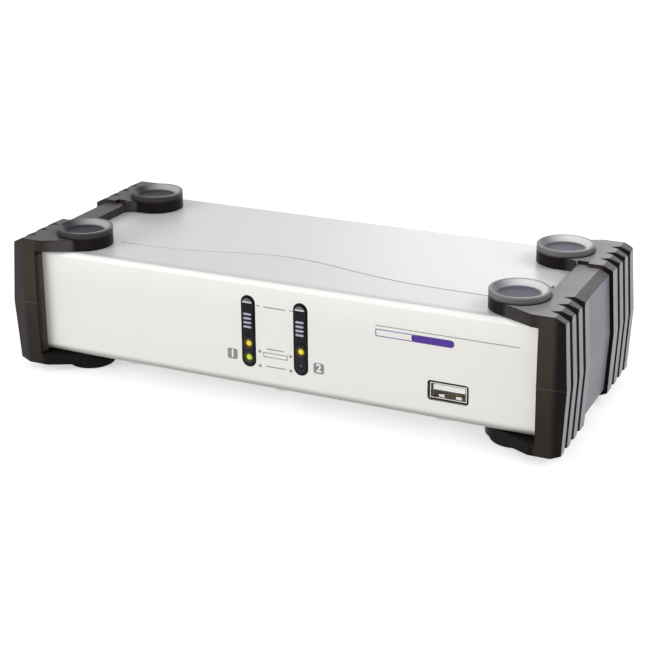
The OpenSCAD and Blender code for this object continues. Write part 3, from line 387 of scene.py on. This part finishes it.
class CapFinish(Finish):
    """Smoke-tinted plastic of the end caps, with the masks that tell the parts of a cap apart."""

    def __init__(self):
        super().__init__("smoke_cap", CAP_BLACK, 0.3, Specular_IOR_Level=0.06)
        self.x, self.y, self.z = (self.axis(name) for name in "XYZ")
        self.across = self.calc("ABSOLUTE", self.x)
        self.along = self.calc("SUBTRACT", self.y, CAP_Y)
        self.upward = self.facing("Z")
        self.outward = self.calc("MULTIPLY", self.facing("X"), self.calc("SIGN", self.x))
        self.endward = self.calc("ABSOLUTE", self.facing("Y"))
        self.up = self.step(self.upward, 0.55, 0.8)
        self.high = self.step(self.z, ARM_FROM, ARM_FROM + 1 * MM)
        self.left = self.step(self.x, SIDE_BLEND, -SIDE_BLEND)
        self.from_x = self.from_cup(self.x, CUP_X)
        self.from_y = self.from_cup(self.along, CUP_Y)
        self.spread = self.length(self.from_x, self.from_y)

    def from_cup(self, value, place):
        """Distance along an axis from the nearer one of two cups that lie at plus and minus place."""
        nearer = self.calc("MULTIPLY", self.calc("SIGN", value), place)
        return self.calc("SUBTRACT", value, nearer)

    def by_side(self, right, left):
        """A colour for the right cap and one for the left cap, which lies in less light."""
        return self.mix(self.left, right, left)

    def bars(self, color):
        """Bars at both ends: brown with painted light where light comes through the thin part, darker
        towards the bottom, with more painted light on the inner walls and on the left cap's outer corner,
        and a faint painted highlight on the ridge at mid-height where the mould parts.
        """
        front = self.step(self.endward, 0.7, 0.9)
        thin = self.step(self.across, CAP_IN + BAR_THICK, CAP_IN + BAR_THIN)
        lower = self.step(self.z, MID_Z + 12 * MM, MID_Z - 16 * MM)
        # Thick outer part of the bars: near black on the right cap, greyer on the left cap with painted
        # light
        thick_tone = self.by_side(CAP_BLACK, (0.056, 0.052, 0.054))
        color = self.mix(front, color, thick_tone)
        # Painted light through the thin part of the bars, darker towards the bottom
        thin_tone = self.mix(lower, OLIVE, shade(OLIVE, 0.62))
        color = self.mix(self.both(front, thin), color, thin_tone)
        # Faint painted highlight on the ridge at mid-height of the bars
        line = self.step(self.off(self.z, MID_Z), 0.3 * MM, 0.12 * MM)
        ridge_highlight = self.both(front, line, self.span(thin, 0.25, 0.6))
        color = self.mix(ridge_highlight, color, (0.09, 0.085, 0.08))
        # Painted light on the inner walls of the bars, brown near the case and darker away from it
        inner = self.both(self.step(self.outward, -0.7, -0.9), self.inverse(self.high))
        near_case = self.step(self.y, FRONT - 4.2 * MM, FRONT)
        color = self.mix(inner, color, self.mix(near_case, shade(OLIVE, 0.4), INNER_WALL_LIGHT))
        # Painted light on the left cap's rounded outer corner; the right one stays near black
        corner = self.both(self.step(self.outward, 0.3, 0.6), self.step(self.endward, 0.3, 0.5))
        return self.mix(corner, color, self.by_side((0.016, 0.014, 0.016), (0.100, 0.098, 0.100)))

    def arms(self, color):
        """Dark walls of the arms, a little lighter with painted light on the upper arms and with painted
        shade near the bars, and their frosted tops and slanted faces, lighter with painted light, most on
        the right cap.
        """
        over_case = self.step(self.across, CAP_IN - 0.2 * MM, CAP_IN - 0.6 * MM)
        wall = self.both(self.inverse(self.up), over_case)
        lit = self.by_side((0.048, 0.041, 0.043), (0.076, 0.067, 0.069))
        # Painted shade on the arm walls near the bars
        near_bar = self.step(self.across, CAP_IN - 7 * MM, CAP_IN - 2 * MM)
        lit = self.mix(near_bar, lit, (0.034, 0.028, 0.027))
        # Painted light on the walls of the upper arms; those of the lower arms stay near black
        color = self.mix(wall, color, self.mix(self.high, CAP_BLACK, lit))
        # Frosted tops, lighter with painted light, most on the right cap
        top = self.by_side((0.310, 0.302, 0.300), (0.115, 0.108, 0.108))
        color = self.mix(self.both(self.up, self.high), color, top)
        # Painted light on the slanted faces of the upper arms
        slanted = self.both(self.step(self.outward, 0.25, 0.4), self.step(self.upward, 0.7, 0.85))
        chamfer = self.by_side((0.150, 0.145, 0.146), (0.085, 0.080, 0.080))
        return self.mix(self.both(self.high, slanted), color, chamfer)

    def sides(self, color):
        """Frosted ribs and the recessed panel between them, lighter than the rest of the cap with painted
        light; the panel darker and more violet.
        """
        side = self.step(self.outward, 0.78, 0.96)
        panel = self.step(self.off(self.along, PANEL_Y), PANEL_HALF + 0.2 * MM, PANEL_HALF)
        # Painted light on the outward faces of the ribs and the panel
        return self.mix(side, color, self.mix(panel, (0.285, 0.275, 0.29), (0.222, 0.212, 0.252)))

    def cups(self, color):
        """Stacking cups: light comes through on the side away from the key light. The dish is violet."""
        # Painted shade on the arm round the foot of each cup
        contact_shade = self.both(self.high, self.step(self.spread, CUP_R + 0.9 * MM, CUP_R + 0.2 * MM))
        color = self.mix(contact_shade, color, CAP_BLACK)
        cup = self.both(self.high, self.step(self.spread, CUP_R + 0.12 * MM, CUP_R + 0.04 * MM))
        return self.inside_cup(self.cup_wall(color, cup), cup)

    def cup_wall(self, color, cup):
        """Outside of a cup, lighter towards its top with painted light."""
        outside = self.step(self.spread, CUP_R - 0.5 * MM, CUP_R - 0.3 * MM)
        wall = self.both(cup, self.inverse(self.up), outside)
        near_top = self.step(self.z, CUP_TOP - 2.6 * MM, CUP_TOP - 1.4 * MM)
        lit = self.by_side((0.170, 0.165, 0.168), (0.055, 0.050, 0.054))
        return self.mix(wall, color, self.mix(near_top, (0.012, 0.009, 0.011), lit))

    def inside_cup(self, color, cup):
        """Lip, bowl and dish of a cup, lighter with painted light on the side away from the key light."""
        across = self.calc("MULTIPLY", self.from_x, AWAY_X / CUP_R)
        along = self.calc("MULTIPLY", self.from_y, AWAY_Y / CUP_R)
        away = self.calc("ADD", across, along)
        # Painted light: lip and bowl lighter on the side away from the key light
        lip = self.both(cup, self.step(self.z, CUP_TOP - 0.55 * MM, CUP_TOP - 0.35 * MM))
        near_lip = self.by_side((0.31, 0.31, 0.305), (0.10, 0.095, 0.10))
        far_lip = self.by_side((0.38, 0.38, 0.375), (0.26, 0.255, 0.26))
        color = self.mix(lip, color, self.mix(self.step(away, -0.4, 0.9), near_lip, far_lip))
        bowl = self.both(cup, self.step(self.spread, CUP_R - 1.0 * MM, CUP_R - 1.15 * MM))
        near_bowl = self.by_side((0.24, 0.235, 0.25), (0.07, 0.065, 0.073))
        far_bowl = self.by_side((0.90, 0.90, 0.91), (0.52, 0.51, 0.53))
        color = self.mix(bowl, color, self.mix(self.step(away, -0.4, 0.6), near_bowl, far_bowl))
        dish = self.both(cup, self.step(self.spread, CUP_R - 2.6 * MM, CUP_R - 3.6 * MM))
        return self.mix(dish, color, self.by_side((0.085, 0.075, 0.118), (0.022, 0.017, 0.028)))

    def glints(self, color):
        """Light caught by the near inner edge of the cups."""
        at_top = self.both(self.high, self.step(self.z, CUP_TOP - 1.2 * MM, CUP_TOP - 1.0 * MM))
        ring = self.step(self.off(self.spread, GLINT_R), 0.3 * MM, 0.12 * MM)
        to_right = self.step(self.from_x, -0.1 * CUP_R, 0.3 * CUP_R)
        to_front = self.step(self.from_y, 0.0, -0.3 * CUP_R)
        glint = self.both(at_top, ring, to_right, to_front)
        return self.mix(glint, color, self.by_side((0.62, 0.61, 0.60), (0.56, 0.55, 0.57)))


def smoke_cap():
    """Near black in walls and grooves, brown with painted light where thin, frosted and lighter with
    painted light on top and on the ribs, with painted shade along sharp edges.
    """
    f = CapFinish()
    color = f.cups(f.sides(f.arms(f.bars(CAP_BLACK))))
    # Painted shade along sharp edges
    color = f.mix(f.span(f.edge(0.7 * MM), 0.0, 0.8), color, CAP_BLACK)
    color = f.glints(color)
    cloud = f.noise(9 * MM, detail=3.0)
    grain = f.noise(0.3 * MM, detail=3.0)
    f.drive("Base Color", f.mix(f.span(cloud, 0.0, 0.2), color, CAP_BLACK))
    f.drive("Roughness", f.span(grain, 0.24, 0.40))
    f.bump(grain, 0.004 * MM, edge=0.45 * MM)
    return f


# Finishes of the buttons, windows and lamps

BUTTON_BLACK = (0.008, 0.008, 0.011)
# Painted highlights on the button's raised ribs, nose and lip
RIB_HIGHLIGHT = (0.50, 0.47, 0.60)
NOSE_HIGHLIGHT = (0.17, 0.17, 0.18)
LIP_HIGHLIGHT = (0.80, 0.80, 0.82)
BUTTON_FACE = button_low.y + 0.55 * MM
NOSE_FROM = button_high.z - 2.0 * MM
WINDOW_DARK = (0.008, 0.007, 0.013)
WINDOW_VIOLET = (0.016, 0.014, 0.026)

# Lit lamps as (core, edge), and the faint painted glow round the lamp that is off
AMBER = ((0.80, 0.70, 0.06), (0.30, 0.16, 0.006))
GREEN = ((0.58, 0.76, 0.06), (0.16, 0.26, 0.01))
OFF_LAMP_GLOW = (0.055, 0.05, 0.07)
LAMP_GLOW = 0.95
WINDOW_GLOW = 0.30

# Radii about a lamp's axis, each as (where a tone ends, where it is full)
CORE_R = (1.35 * MM, 0.55 * MM)
HALO_R = (1.5 * MM, 0.75 * MM)
WINDOW_R = (2.1 * MM, 1.1 * MM)


def button_black():
    """Black button with painted highlights: pale on the grip ribs, grey on the nose and bright on the lip
    where the nose ends.
    """
    f = Finish("button_black", BUTTON_BLACK, 0.36, Specular_IOR_Level=0.14)
    z = f.axis("Z")
    # Painted highlights on the raised ribs, nose and lip
    raised = f.step(f.axis("Y"), BUTTON_FACE - 0.15 * MM, BUTTON_FACE - 0.35 * MM)
    nose = f.step(z, NOSE_FROM - 0.1 * MM, NOSE_FROM)
    lip = f.inverse(f.step(z, NOSE_FROM + 0.4 * MM, NOSE_FROM + 0.6 * MM))
    tips = f.mix(nose, RIB_HIGHLIGHT, f.mix(lip, NOSE_HIGHLIGHT, LIP_HIGHLIGHT))
    color = f.mix(raised, BUTTON_BLACK, tips)
    grain = f.noise(0.25 * MM, detail=3.0)
    f.drive("Base Color", f.mix(f.span(grain, 0.0, 0.25), color, BUTTON_BLACK))
    f.drive("Roughness", f.span(grain, 0.28, 0.45))
    f.bump(grain, 0.004 * MM, edge=0.12 * MM)
    return f


def lamp_window(name, glows):
    """Dark window with a painted glow round each of its lamps, given as (lamp node, colour)."""
    f = Finish(name, WINDOW_DARK, 0.24, Specular_IOR_Level=0.16)
    grain = f.noise(0.4 * MM)
    f.drive("Base Color", f.mix(grain, WINDOW_DARK, WINDOW_VIOLET))
    f.drive("Roughness", f.span(grain, 0.16, 0.30))
    glow = (0, 0, 0)
    # Painted glow of each lamp on the window round it, also round the lamp that is off
    for lamp, color in glows:
        spot = centre(lamp)
        near = f.step(f.distance_to(spot.x, spot.z), *WINDOW_R)
        glow = f.mix(near, glow, color)
    f.drive("Emission Color", glow)
    f.put("Emission Strength", WINDOW_GLOW)
    return f


def lit_lamp(name, lamp, core, edge):
    """Lit lamp, brightest on its axis and dark towards its edge."""
    dark = shade(edge, 0.08)
    f = Finish(name, edge, 0.25, Specular_IOR_Level=0.25)
    spot = centre(lamp)
    away = f.distance_to(spot.x, spot.z)
    cloud = f.noise(0.5 * MM)
    halo = f.mix(f.step(away, *HALO_R), dark, edge)
    tint = f.mix(f.step(away, *CORE_R), halo, core)
    f.drive("Base Color", f.mix(f.span(cloud, 0.85, 1.0), tint, dark))
    f.drive("Emission Color", tint)
    f.put("Emission Strength", LAMP_GLOW)
    f.drive("Roughness", f.span(cloud, 0.2, 0.32))
    return f


# Finish of the circuit boards

BOARD_GREEN = (0.015, 0.12, 0.05)
MASK_GREEN = (0.013, 0.11, 0.045)
RUN_GREEN = (0.03, 0.21, 0.09)
DEEP_GREEN = (0.008, 0.07, 0.03)
PAD = (0.62, 0.60, 0.52)
RUN_SCALE = 220.0
PAD_SCALE = 260.0


def circuit_board():
    """Green solder mask over copper runs, with pale pads."""
    f = Finish("circuit_board", BOARD_GREEN, 0.38)
    bricks = {"Vector": f.place, "Scale": RUN_SCALE, "Mortar Size": 0.06}
    runs = f.node("TexBrick", bricks).outputs["Fac"]
    cells = f.speckle(3.2 * MM)
    dots = f.node("TexVoronoi", {"Vector": f.place, "Scale": PAD_SCALE}).outputs["Distance"]
    mask = f.mix(runs, MASK_GREEN, RUN_GREEN)
    mask = f.mix(f.span(cells, 0.0, 0.2), mask, DEEP_GREEN)
    f.drive("Base Color", f.mix(f.step(dots, 0.16, 0.10), mask, PAD))
    f.bump(runs, 0.02 * MM)
    return f


# Which finish each piece gets

# Moulded finishes as (colour, roughness, further settings)
MOULDED = {
    "foot_rubber": (
        (0.007, 0.006, 0.006), 0.72, {"grain": 0.5 * MM, "depth": 0.02 * MM, "Specular_IOR_Level": 0.15}),
    "socket_tongue": ((0.84, 0.84, 0.81), 0.42, {}),
    "video_blue": ((0.035, 0.075, 0.36), 0.42, {}),
    "sound_green": ((0.20, 0.50, 0.16), 0.40, {}),
    "sound_pink": ((0.78, 0.26, 0.36), 0.40, {}),
    "violet_plastic": ((0.24, 0.12, 0.46), 0.42, {}),
    "mint_plastic": ((0.10, 0.44, 0.26), 0.42, {}),
    "holder_black": (
        (0.005, 0.005, 0.006), 0.3, {"grain": 0.5 * MM, "depth": 0.002 * MM, "Specular_IOR_Level": 0.12}),
    "black_plastic": ((0.020, 0.020, 0.021), 0.45, {"Specular_IOR_Level": 0.35}),
    "plunger_grey": ((0.22, 0.22, 0.23), 0.45, {}),
}
DARK_LAMP = (
    (0.034, 0.031, 0.043), 0.24, {"grain": 0.4 * MM, "depth": 0.001 * MM, "Specular_IOR_Level": 0.25})

# Plated finishes as (colour, roughness, stretch of the drawing lines)
PLATED = {
    "screw_steel": ((0.58, 0.58, 0.57), 0.36, (1, 1, 1)),
    "socket_steel": ((0.74, 0.73, 0.71), 0.26, DRAWN),
    "brass_posts": ((0.70, 0.50, 0.20), 0.30, (1, 1, 1)),
    "gold_contacts": ((0.86, 0.62, 0.24), 0.22, (1, 1, 1)),
}


def moulded_row(name, row):
    """Moulded finish from a row of the list above."""
    color, roughness, settings = row
    return moulded(name, color, roughness, **settings)


finishes = {
    "silver_paint": folded_sheet(),
    "inner_paint": silver_paint("inner_paint", (0.62, 0.63, 0.63)),
    "rear_paint": silver_paint("rear_paint", (0.76, 0.76, 0.75)),
    "smoke_cap": smoke_cap(),
    "amber_lamp": lit_lamp("amber_lamp_1", "online_lamp_1", *AMBER),
    "green_lamp": lit_lamp("green_lamp_1", "link_lamp_1", *GREEN),
    "lamp_window": lamp_window("lamp_window_1", [("online_lamp_1", AMBER[1]), ("link_lamp_1", GREEN[1])]),
    "button_black": button_black(),
    "circuit_board": circuit_board(),
}
finishes.update({name: moulded_row(name, row) for name, row in MOULDED.items()})
finishes.update({name: plated(name, *row) for name, row in PLATED.items()})

# Pieces with a finish of their own instead of the one that their slot names
node_finishes = {
    "front_socket_shell": rimmed_socket("front_socket_steel", "front_socket_shell"),
    "rear_socket_shell": rimmed_socket("rear_socket_steel", "rear_socket_shell"),
    "online_lamp_2": lit_lamp("amber_lamp_2", "online_lamp_2", *AMBER),
    "link_lamp_2": moulded_row("dark_lamp", DARK_LAMP),
    "lamp_window_2": lamp_window("lamp_window_2", [("link_lamp_2", OFF_LAMP_GLOW), ("online_lamp_2", AMBER[1])]),
}
for row in frame["record"]["subparts"]:
    node = row["node"]
    finish = node_finishes.get(node, finishes[row["material_slot"]])
    for slot in NODES[node].material_slots:
        slot.material = finish.material


# Print on the front sheet, with places and sizes in millimetres

PRINT_T = 0.03 * MM
PRINT_ROUGHNESS = 0.5
PRINT_GRAIN = 0.3 * MM
PRINT_DEPTH = 0.001 * MM
INK = (0.24, 0.24, 0.25)
BADGE_GREY = (0.25, 0.25, 0.255)
DIGIT_WHITE = (0.86, 0.86, 0.85)
VIOLET = (0.064, 0.019, 0.275)
LINE = 0.28
LINE_ROUNDING = 2.5
CORNER_STEPS = 6
BADGES = {"1": (-16.5, 18.2), "2": (16.7, 18.1)}
BADGE = (3.9, 3.9, 0.8)
DIGIT_H = 3.0
DIGIT_BOLD = 0.1 * MM
FONT_SIZE_PER_HEIGHT = 1.4
ARROW = 1.4
ARROW_X = {-1: -6.0, 1: 6.35}
ARROW_ROWS = (20.75, 15.4)
DASH_X = (-6.2, 6.6)
DASH_Z = 37.4
DASH = (1.6, LINE, 0.12)
WORD_BARS = ((0.2, 37.3, 8.6), (0.2, 22.05, 6.6), (0.3, 15.6, 7.6))
WORD_H = 0.36
WORD_R = 0.15
CHOICE_FRAME = (0.25, 19.85, 9.3, 1.8)
RULE = (62.6, 37.2, 49.8, LINE, 0.1)
ACCENT_FRAME = (44.3, 34.7, 13.3, 2.6)
ACCENT_TAB = (58.0, 34.7, 15.0, 2.6, 1.25)


def outline_rounded(x, z, w, h, r):
    """Corner points of a rounded rectangle about x, z."""
    points = []
    for i, (sx, sz) in enumerate(((1, 1), (-1, 1), (-1, -1), (1, -1))):
        corner_x = x + sx * (w / 2 - r)
        corner_z = z + sz * (h / 2 - r)
        for k in range(CORNER_STEPS + 1):
            a = math.radians(90 * i + 90 * k / CORNER_STEPS)
            points.append((corner_x + r * math.cos(a), corner_z + r * math.sin(a)))
    return points


def outline_arrow(x, z, side, size):
    """Corner points of a small triangle that points along X."""
    half = size / 2
    return [(x + side * half, z), (x - side * half, z + half), (x - side * half, z - half)]


def outline_frame(x, z, w, h):
    """Four thin bars round a rectangle about x, z."""
    r = LINE / LINE_ROUNDING
    flat = [outline_rounded(x, z + s * (h - LINE) / 2, w, LINE, r) for s in (-1, 1)]
    upright = [outline_rounded(x + s * (w - LINE) / 2, z, LINE, h, r) for s in (-1, 1)]
    return flat + upright


def dress_print(name, data, color):
    """A new print object with its ink."""
    piece = bpy.data.objects.new(name, data)
    bpy.context.scene.collection.objects.link(piece)
    ink = moulded(name, color, PRINT_ROUGHNESS, PRINT_GRAIN, PRINT_DEPTH)
    data.materials.append(ink.material)
    return piece


def print_piece(name, outlines, color):
    """A thin layer of ink on the front sheet, made of flat outlines in X and Z."""
    mesh = bpy.data.meshes.new(name)
    bm = bmesh.new()
    for points in outlines:
        corners = [bm.verts.new((x * MM, FRONT - PRINT_T, z * MM)) for x, z in points]
        face = bm.faces.new(corners)
        back = bmesh.ops.extrude_face_region(bm, geom=[face])
        moved = [g for g in back["geom"] if isinstance(g, bmesh.types.BMVert)]
        bmesh.ops.translate(bm, verts=moved, vec=(0, PRINT_T, 0))
    bmesh.ops.recalc_face_normals(bm, faces=bm.faces[:])
    bm.to_mesh(mesh)
    bm.free()
    piece = dress_print(name, mesh, color)
    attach(piece, "case")


def digit_piece(name, text, x, z):
    """A plain number printed on a badge."""
    curve = bpy.data.curves.new(name, "FONT")
    curve.body = text
    curve.size = DIGIT_H * MM * FONT_SIZE_PER_HEIGHT
    curve.align_x = "CENTER"
    curve.align_y = "CENTER"
    curve.extrude = PRINT_T / 2
    curve.offset = DIGIT_BOLD
    piece = dress_print(name, curve, DIGIT_WHITE)
    piece.rotation_euler = (math.radians(90), 0, 0)
    piece.location = (x * MM, FRONT - PRINT_T, z * MM)
    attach(piece, "case")


print_piece("print_badges", [outline_rounded(x, z, *BADGE) for x, z in BADGES.values()], BADGE_GREY)
for text, (x, z) in BADGES.items():
    digit_piece("print_digit_" + text, text, x, z)
marks = [outline_arrow(x, z, side, ARROW) for side, x in ARROW_X.items() for z in ARROW_ROWS]
marks += [outline_rounded(x, DASH_Z, *DASH) for x in DASH_X]
marks += [outline_rounded(x, z, w, WORD_H, WORD_R) for x, z, w in WORD_BARS]
marks += outline_frame(*CHOICE_FRAME)
marks += [outline_rounded(*RULE)]
print_piece("print_marks", marks, INK)
print_piece("print_accent_frame", outline_frame(*ACCENT_FRAME), VIOLET)
print_piece("print_accent", [outline_rounded(*ACCENT_TAB)], VIOLET)


# Studio: surroundings, floor, light and camera

AMBIENT = 0.42
BACKDROP = 1.0
FLOOR_HALF = 8.0
FLOOR_GREY = (0.80, 0.80, 0.80)
FLOOR_GLOW = 0.55
WARM = (1.0, 0.985, 0.95)
COOL = (0.95, 0.97, 1.0)
CASE_MIDDLE = (0, 0, MID_Z)
RIGHT_CAP = (0.1, 0, MID_Z)
CAMERA_PLACE = (0.22842, -0.47935, 0.22293)
CAMERA_AZIMUTH = 25.351
CAMERA_ELEVATION = 17.541
CAMERA_ROLL = -0.539
CAMERA_LENS = 86.084
CAMERA_SENSOR = 36.0
CAMERA_SHIFT = -0.15


def make_world():
    """White surroundings: full white to the camera and in reflections, softer as light."""
    world = bpy.data.worlds.new("studio")
    bpy.context.scene.world = world
    world.use_nodes = True
    nodes, links = world.node_tree.nodes, world.node_tree.links
    nodes.clear()
    path = nodes.new("ShaderNodeLightPath")
    seen = nodes.new("ShaderNodeMath")
    seen.operation = "MAXIMUM"
    links.new(path.outputs["Is Camera Ray"], seen.inputs[0])
    links.new(path.outputs["Is Glossy Ray"], seen.inputs[1])
    mix = nodes.new("ShaderNodeMixShader")
    links.new(seen.outputs[0], mix.inputs["Fac"])
    for port, strength in ((1, AMBIENT), (2, BACKDROP)):
        light = nodes.new("ShaderNodeBackground")
        light.inputs["Color"].default_value = (1, 1, 1, 1)
        light.inputs["Strength"].default_value = strength
        links.new(light.outputs[0], mix.inputs[port])
    out = nodes.new("ShaderNodeOutputWorld")
    links.new(mix.outputs[0], out.inputs["Surface"])


def make_floor():
    """Pale floor that shows white where no shadow falls."""
    corners = [(x * FLOOR_HALF, y * FLOOR_HALF, 0) for x, y in ((-1, -1), (1, -1), (1, 1), (-1, 1))]
    mesh = bpy.data.meshes.new("floor")
    mesh.from_pydata(corners, [], [(0, 1, 2, 3)])
    floor = bpy.data.objects.new("floor", mesh)
    bpy.context.scene.collection.objects.link(floor)
    f = Finish("floor", FLOOR_GREY, 0.9)
    path = f.node("LightPath", {})
    seen = f.either(path.outputs["Is Camera Ray"], path.outputs["Is Glossy Ray"])
    f.put("Emission Color", (1, 1, 1, 1))
    f.drive("Emission Strength", f.part(seen, FLOOR_GLOW))
    mesh.materials.append(f.material)


def make_lamp(name, place, target, size, power, color=WHITE, mirrored=False):
    """Square soft light that faces a target, and shows in reflections only where that is asked for."""
    lamp = bpy.data.lights.new(name, "AREA")
    lamp.color = color
    lamp.size = size
    lamp.energy = power
    obj = bpy.data.objects.new(name, lamp)
    obj.location = place
    obj.visible_glossy = mirrored
    obj.rotation_euler = (Vector(target) - Vector(place)).to_track_quat("-Z", "Y").to_euler()
    bpy.context.scene.collection.objects.link(obj)


def make_camera():
    """Camera with its lens shifted a little, because the uprights of the photo are nearly parallel."""
    camera = bpy.data.cameras.new("camera")
    camera.lens = CAMERA_LENS
    camera.sensor_width = CAMERA_SENSOR
    camera.shift_y = CAMERA_SHIFT
    obj = bpy.data.objects.new("camera", camera)
    turn = Matrix.Rotation(math.radians(CAMERA_AZIMUTH), 3, "Z")
    tilt = Matrix.Rotation(math.radians(90 - CAMERA_ELEVATION), 3, "X")
    roll = Matrix.Rotation(math.radians(CAMERA_ROLL), 3, "Z")
    obj.location = CAMERA_PLACE
    obj.rotation_euler = (turn @ tilt @ roll).to_euler()
    bpy.context.scene.collection.objects.link(obj)
    bpy.context.scene.camera = obj


make_world()
make_floor()
make_lamp("key", (-0.85, -1.2, 0.5), CASE_MIDDLE, size=0.9, power=13.0, color=WARM)
make_lamp("top", (-0.1, -0.75, 1.05), CASE_MIDDLE, size=0.6, power=0.8)
make_lamp("side", (1.3, -0.1, 0.2), CASE_MIDDLE, size=0.7, power=3.5)
make_lamp("right", (0.42, 0.10, 0.40), RIGHT_CAP, size=0.25, power=0.9)
make_lamp("back", (-0.27, 1.26, 0.44), CASE_MIDDLE, size=0.5, power=1.2, color=COOL, mirrored=True)
make_camera()
bpy.context.scene.view_settings.view_transform = "Standard"
